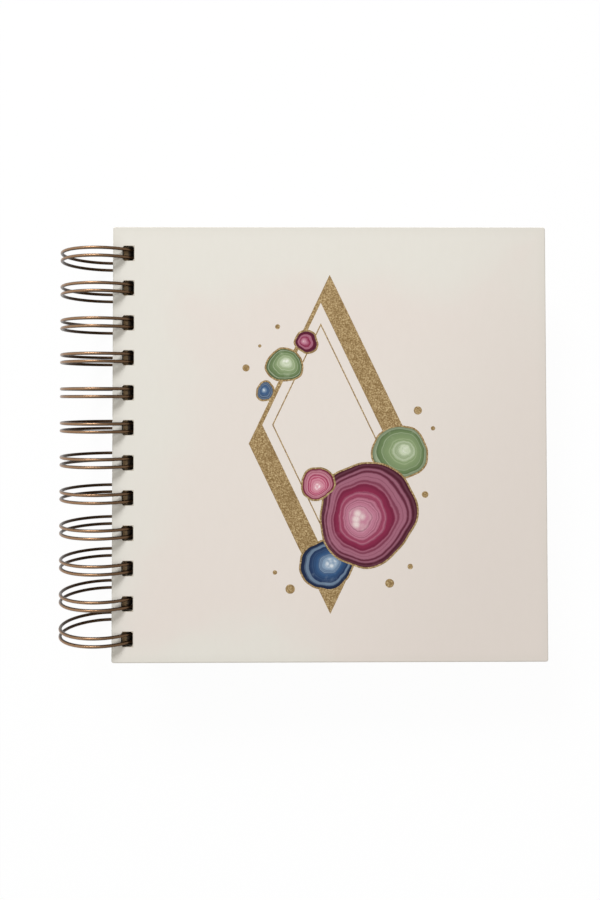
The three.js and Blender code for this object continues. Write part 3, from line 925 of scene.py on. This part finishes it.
class NOTEBOOK_OT_agates(bpy.types.Operator):
    """Paint the agate slices on the front cover, each with its foil rim"""

    bl_idname = "notebook.agates"
    bl_label = "Agates"

    def execute(self, context):
        settings = context.scene.notebook_art
        foil = bpy.data.materials["gold_foil"]
        chance = random.Random(settings.seed)
        for number, (name, x, y, radius, shades, level) in enumerate(AGATES):
            spot = COVER_MIDDLE + Vector((x * MM, y * MM, 0))
            spot.z = COVER_HIGH.z + level * settings.film
            radius *= MM
            outline = self.outline(radius, chance)
            inset = [arm * (1 - settings.rim / arm.length) for arm in outline]
            bearing = chance.uniform(0, math.tau)
            heart = Vector((math.cos(bearing), math.sin(bearing), 0)) * HEART_SHIFT * radius

            bm = bmesh.new()
            edge = self.drawn_outline(bm, spot, outline)
            for vert in self.grown(bm, edge)[0]:
                arm = vert.co - spot
                vert.co = spot + arm * (1 - settings.rim / arm.length)
            thickened(bm, bm.faces[:], settings.film)
            new_piece(name + "_rim", bm, foil, "front_cover")

            bm = bmesh.new()
            outward = bm.verts.layers.float.new("outward")
            edge = self.drawn_outline(bm, spot, inset)
            for vert in bm.verts:
                vert[outward] = 1
            middle = spot + heart
            about = Matrix.Translation(-middle)
            for i in range(1, AGATE_STEPS + 1):
                verts, edge = self.grown(bm, edge)
                for vert in verts:
                    vert[outward] = 1 - i / AGATE_STEPS
                if i == AGATE_STEPS:
                    bmesh.ops.pointmerge(bm, verts=verts, merge_co=middle)
                    break
                smaller = (AGATE_STEPS - i) / (AGATE_STEPS - i + 1)
                bmesh.ops.scale(bm, vec=(smaller, smaller, 1), space=about, verts=verts)
            thickened(bm, bm.faces[:], settings.film)
            new_piece(name, bm, agate_finish(name, radius, shades, number + 1), "front_cover")
        return {"FINISHED"}

    def outline(self, radius, chance):
        """The uneven outline of a slice of stone, as arms from its middle."""
        waves = []
        for count, size in WAVES:
            waves.append((count, chance.uniform(0, math.tau), chance.uniform(0.5, 1) * size))
        arms = []
        for i in range(OUTLINE_POINTS):
            turn = math.tau * i / OUTLINE_POINTS
            swell = sum(size * math.sin(count * turn + phase) for count, phase, size in waves)
            reach = radius * (1 + swell)
            arms.append(Vector((reach * math.cos(turn), reach * math.sin(turn), 0)))
        return arms

    def drawn_outline(self, bm, spot, arms):
        """A circle of edges, moved onto an outline."""
        circle = bmesh.ops.create_circle(bm, segments=len(arms), radius=1)["verts"]
        for vert, arm in zip(circle, arms):
            vert.co = spot + arm
        return bm.edges[:]

    def grown(self, bm, edges):
        """Grows faces from a loop of edges. Its new corners and edges are yet to be moved."""
        fresh = bmesh.ops.extrude_edge_only(bm, edges=edges)["geom"]
        return parts_of(fresh, bmesh.types.BMVert), parts_of(fresh, bmesh.types.BMEdge)


class NOTEBOOK_OT_leaves(bpy.types.Operator):
    """Make the single leaves of each section, punched and ruled"""

    bl_idname = "notebook.leaves"
    bl_label = "Leaves"

    def execute(self, context):
        settings = context.scene.notebook_leaves
        chance = random.Random(settings.seed)
        finish = None
        for number in NUMBERS:
            node = "leaf_block_" + number
            low, high, holes = punched_block(node)
            finish = finish or leaf_finish(settings, low, high, holes)
            outline = rectangle_points(low.x, low.y, high.x, high.y)
            bm = punched_sheet(outline, holes, low.z, settings.thickness)
            pattern = bm.verts[:]
            leaf = pattern + bm.edges[:] + bm.faces[:]
            pitch = (high.z - low.z) / settings.count
            for i in range(settings.count):
                copied = bmesh.ops.duplicate(bm, geom=leaf)["geom"]
                verts = parts_of(copied, bmesh.types.BMVert)
                height = low.z + (i + 0.5) * pitch
                least, most = self.play(height, holes[0])
                shift = chance.uniform(max(least, -settings.stray), min(most, settings.stray))
                slide = chance.uniform(-settings.stray, settings.stray)
                lift = (i + 0.5) * pitch - settings.thickness / 2
                bmesh.ops.translate(bm, verts=verts, vec=(shift, slide, lift))
            bmesh.ops.delete(bm, geom=pattern, context="VERTS")
            new_piece("leaves_" + number, bm, finish, "section_" + number, [node])
        return {"FINISHED"}

    def play(self, height, hole):
        """How far a leaf can lie left or right of its place before its holes meet the wire."""
        wire = bpy.context.scene.notebook_wire.radius
        ring = ring_radius()
        rise = height - RING_AXIS.z
        left = RING_AXIS.x + math.sqrt((ring - wire) ** 2 - rise**2)
        right = RING_AXIS.x + math.sqrt((ring + wire) ** 2 - rise**2)
        return min(0, right - hole[2] + WIRE_GAP), max(0, left - hole[0] - WIRE_GAP)


FONT_SIZE = 1.35  # for a number of height 1
DIGIT_SPACING = 0.84  # of the font's own
INK_DEPTH = 0.4  # each way from the ink's middle, as a share of the room for it
FONT_WELD = 0.0001 * MM


class NOTEBOOK_OT_dividers(bpy.types.Operator):
    """Make the card dividers, with the film and the number on each tab"""

    bl_idname = "notebook.dividers"
    bl_label = "Dividers"

    def execute(self, context):
        settings = context.scene.notebook_dividers
        # The painted hole shade of the leaves, laid on the dividers too.
        punched = context.scene.notebook_leaves.punched
        shades = [getattr(settings, name) for name in ("sage", "navy", "wine", "berry")]
        names = ("sage_tab", "navy_tab", "wine_tab", "berry_tab")
        films = [tab_finish(name, tuple(shade)) for name, shade in zip(names, shades)]
        ink = ink_finish(settings)
        card = None
        for i, number in enumerate(NUMBERS):
            node = "index_divider_" + number
            body = "section_" + number
            _, leaf_high, holes = punched_block("leaf_block_" + number)
            card = card or card_finish(settings, punched, holes)
            low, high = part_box(node)
            tab_low, tab_high = self.tab(node, leaf_high.x)
            middle = (low.z + high.z) / 2

            sheet = leaf_high.x
            outline = [(low.x, low.y), (sheet, low.y), (sheet, tab_low), (high.x, tab_low)]
            outline += [(high.x, tab_high), (sheet, tab_high), (sheet, high.y), (low.x, high.y)]
            thickness = settings.card_thickness
            bottom = middle - thickness / 2
            bm = punched_sheet(outline, holes, bottom, thickness, settings.tab_radius, (3, 4))
            new_piece("divider_" + number, bm, card, body, [node])

            outline = rectangle_points(sheet - settings.film_reach, tab_low, high.x, tab_high)
            thickness = settings.film_thickness
            bottom = middle - thickness / 2
            bm = punched_sheet(outline, [], bottom, thickness, settings.tab_radius, (1, 2))
            new_piece("tab_film_" + number, bm, films[i % len(films)], body)

            spot = Vector(((sheet + high.x) / 2, (tab_low + tab_high) / 2, middle))
            self.print_number(settings, str(i + 1), spot, ink, body, number)
        return {"FINISHED"}

    def tab(self, node, sheet_edge):
        """The lowest and the highest place of a divider's tab along the fore-edge."""
        beyond = [corner.y for corner in corners_of(node) if corner.x > sheet_edge + MM]
        return min(beyond), max(beyond)

    def print_number(self, settings, text, spot, ink, body, number):
        """The same number on both sides of a tab, so that it reads when the leaf is turned too."""
        room = (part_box("index_divider_" + number)[1].z - spot.z) - settings.film_thickness / 2
        curve = bpy.data.curves.new("number_" + number, "FONT")
        curve.body = text
        curve.align_x = "CENTER"
        curve.align_y = "CENTER"
        curve.size = settings.number_height * FONT_SIZE
        curve.space_character = DIGIT_SPACING
        curve.extrude = room * INK_DEPTH
        drawn = mesh_from_curve(curve)
        raised = Matrix.Translation((0, 0, settings.film_thickness / 2 + room / 2))
        bm = bmesh.new()
        for turn in (0, math.pi):
            bm.from_mesh(drawn)
            verts = bm.verts[len(bm.verts) - len(drawn.vertices) :]
            face = Matrix.Translation(spot) @ Matrix.Rotation(turn, 4, "Y") @ raised
            bmesh.ops.transform(bm, matrix=face, verts=verts)
        bmesh.ops.remove_doubles(bm, verts=bm.verts, dist=FONT_WELD)
        bpy.data.meshes.remove(drawn)
        new_piece("number_" + number, bm, ink, body)


def ring_radius():
    """The rings' true radius to the middle of the wire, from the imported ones, drawn in steps."""
    wire = bpy.context.scene.notebook_wire.radius
    corner = WIRE_HIGH.z - RING_AXIS.z - wire
    return corner * (1 + math.cos(math.pi / CAD_STEPS_PER_TURN)) / 2


BEND_STEPS = 8
NOSE_STEPS = 16
WIRE_WELD = 0.001 * MM


class NOTEBOOK_OT_wire(bpy.types.Operator):
    """Bend one round wire into the comb of twin loops, and roll it into rings"""

    bl_idname = "notebook.wire"
    bl_label = "Twin-loop wire"

    def execute(self, context):
        settings = context.scene.notebook_wire
        line = self.comb_line(settings)
        curve = bpy.data.curves.new("rolled_wire", "CURVE")
        curve.dimensions = "3D"
        curve.bevel_depth = settings.radius
        curve.bevel_resolution = settings.sides
        curve.use_fill_caps = True
        spline = curve.splines.new("POLY")
        spline.points.add(len(line) - 1)
        for point, place in zip(spline.points, line):
            point.co = (*place, 1)
        swept = mesh_from_curve(curve)
        bm = bmesh.new()
        bm.from_mesh(swept)
        bpy.data.meshes.remove(swept)
        bmesh.ops.remove_doubles(bm, verts=bm.verts, dist=WIRE_WELD)
        for face in bm.faces:
            face.smooth = True
        finish = bronze_finish(settings)
        new_piece("rolled_wire", bm, finish, "back_cover", ["twin_loop_wire"])
        return {"FINISHED"}

    def comb_line(self, settings):
        """The wire's middle line: out on one strand, round a loop's nose, back on the other."""
        radius = ring_radius()
        offset = settings.opening / 2 + settings.radius
        bend = settings.bend_inside + settings.radius
        seam = (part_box("leaf_block_" + NUMBERS[-1])[0].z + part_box("back_cover_lining")[1].z) / 2
        run_angle = -math.asin((RING_AXIS.z - seam) / radius)
        nose_top = math.tau * radius - 2 * settings.radius - settings.nose_clearance
        strand_end = nose_top - offset
        count = round(settings.steps * (strand_end - bend) / (math.tau * radius))
        strand = [bend + (strand_end - bend) * i / count for i in range(count + 1)]
        middles = [(bottom + top) / 2 for _, bottom, _, top in punched_block("leaf_block_01")[2]]
        middles.sort(reverse=True)
        line = []

        def arc(along, across, size, start, end, steps):
            for i in range(1, steps):
                angle = start + (end - start) * i / steps
                line.append((along + size * math.sin(angle), across + size * math.cos(angle)))

        for middle in middles:
            outer = offset + bend
            if middle == middles[0]:
                line.append((0, middle + outer + settings.end_stub))
            line.append((0, middle + outer))
            arc(bend, middle + outer, bend, -math.pi / 2, -math.pi, BEND_STEPS)
            line += [(along, middle + offset) for along in strand]
            arc(strand_end, middle, offset, 0, math.pi, NOSE_STEPS)
            line += [(along, middle - offset) for along in reversed(strand)]
            arc(bend, middle - outer, bend, 0, -math.pi / 2, BEND_STEPS)
            line.append((0, middle - outer))
        line.append((0, line[-1][1] - settings.end_stub))

        rolled = []
        for along, across in line:
            angle = run_angle + along / radius
            place = Vector((radius * math.cos(angle), across, radius * math.sin(angle)))
            rolled.append(place + Vector((RING_AXIS.x, 0, RING_AXIS.z)))
        return rolled


OPERATORS = (
    NOTEBOOK_OT_stage,
    NOTEBOOK_OT_covers,
    NOTEBOOK_OT_foil_diamond,
    NOTEBOOK_OT_agates,
    NOTEBOOK_OT_leaves,
    NOTEBOOK_OT_dividers,
    NOTEBOOK_OT_wire,
)


class NOTEBOOK_PT_panel(bpy.types.Panel):
    """Lists the notebook's pieces"""

    bl_label = "Indexed notebook"
    bl_idname = "NOTEBOOK_PT_panel"
    bl_space_type = "VIEW_3D"
    bl_region_type = "UI"
    bl_category = "Notebook"

    def draw(self, context):
        for operator in OPERATORS:
            self.layout.operator(operator.bl_idname)
        for name in SETTINGS:
            box = self.layout.box()
            settings = getattr(context.scene, name)
            for prop in settings.bl_rna.properties:
                if not prop.is_readonly and prop.identifier != "name":
                    box.prop(settings, prop.identifier)


def register():
    for name, group in SETTINGS.items():
        bpy.utils.register_class(group)
        setattr(bpy.types.Scene, name, bpy.props.PointerProperty(type=group))
    for operator in OPERATORS:
        bpy.utils.register_class(operator)
    bpy.utils.register_class(NOTEBOOK_PT_panel)


def unregister():
    bpy.utils.unregister_class(NOTEBOOK_PT_panel)
    for operator in reversed(OPERATORS):
        bpy.utils.unregister_class(operator)
    for name, group in SETTINGS.items():
        delattr(bpy.types.Scene, name)
        bpy.utils.unregister_class(group)


def main():
    register()
    bpy.ops.notebook.stage()
    bpy.ops.notebook.covers()
    bpy.ops.notebook.foil_diamond()
    bpy.ops.notebook.agates()
    bpy.ops.notebook.leaves()
    bpy.ops.notebook.dividers()
    bpy.ops.notebook.wire()


if __name__ == "__main__":
    main()
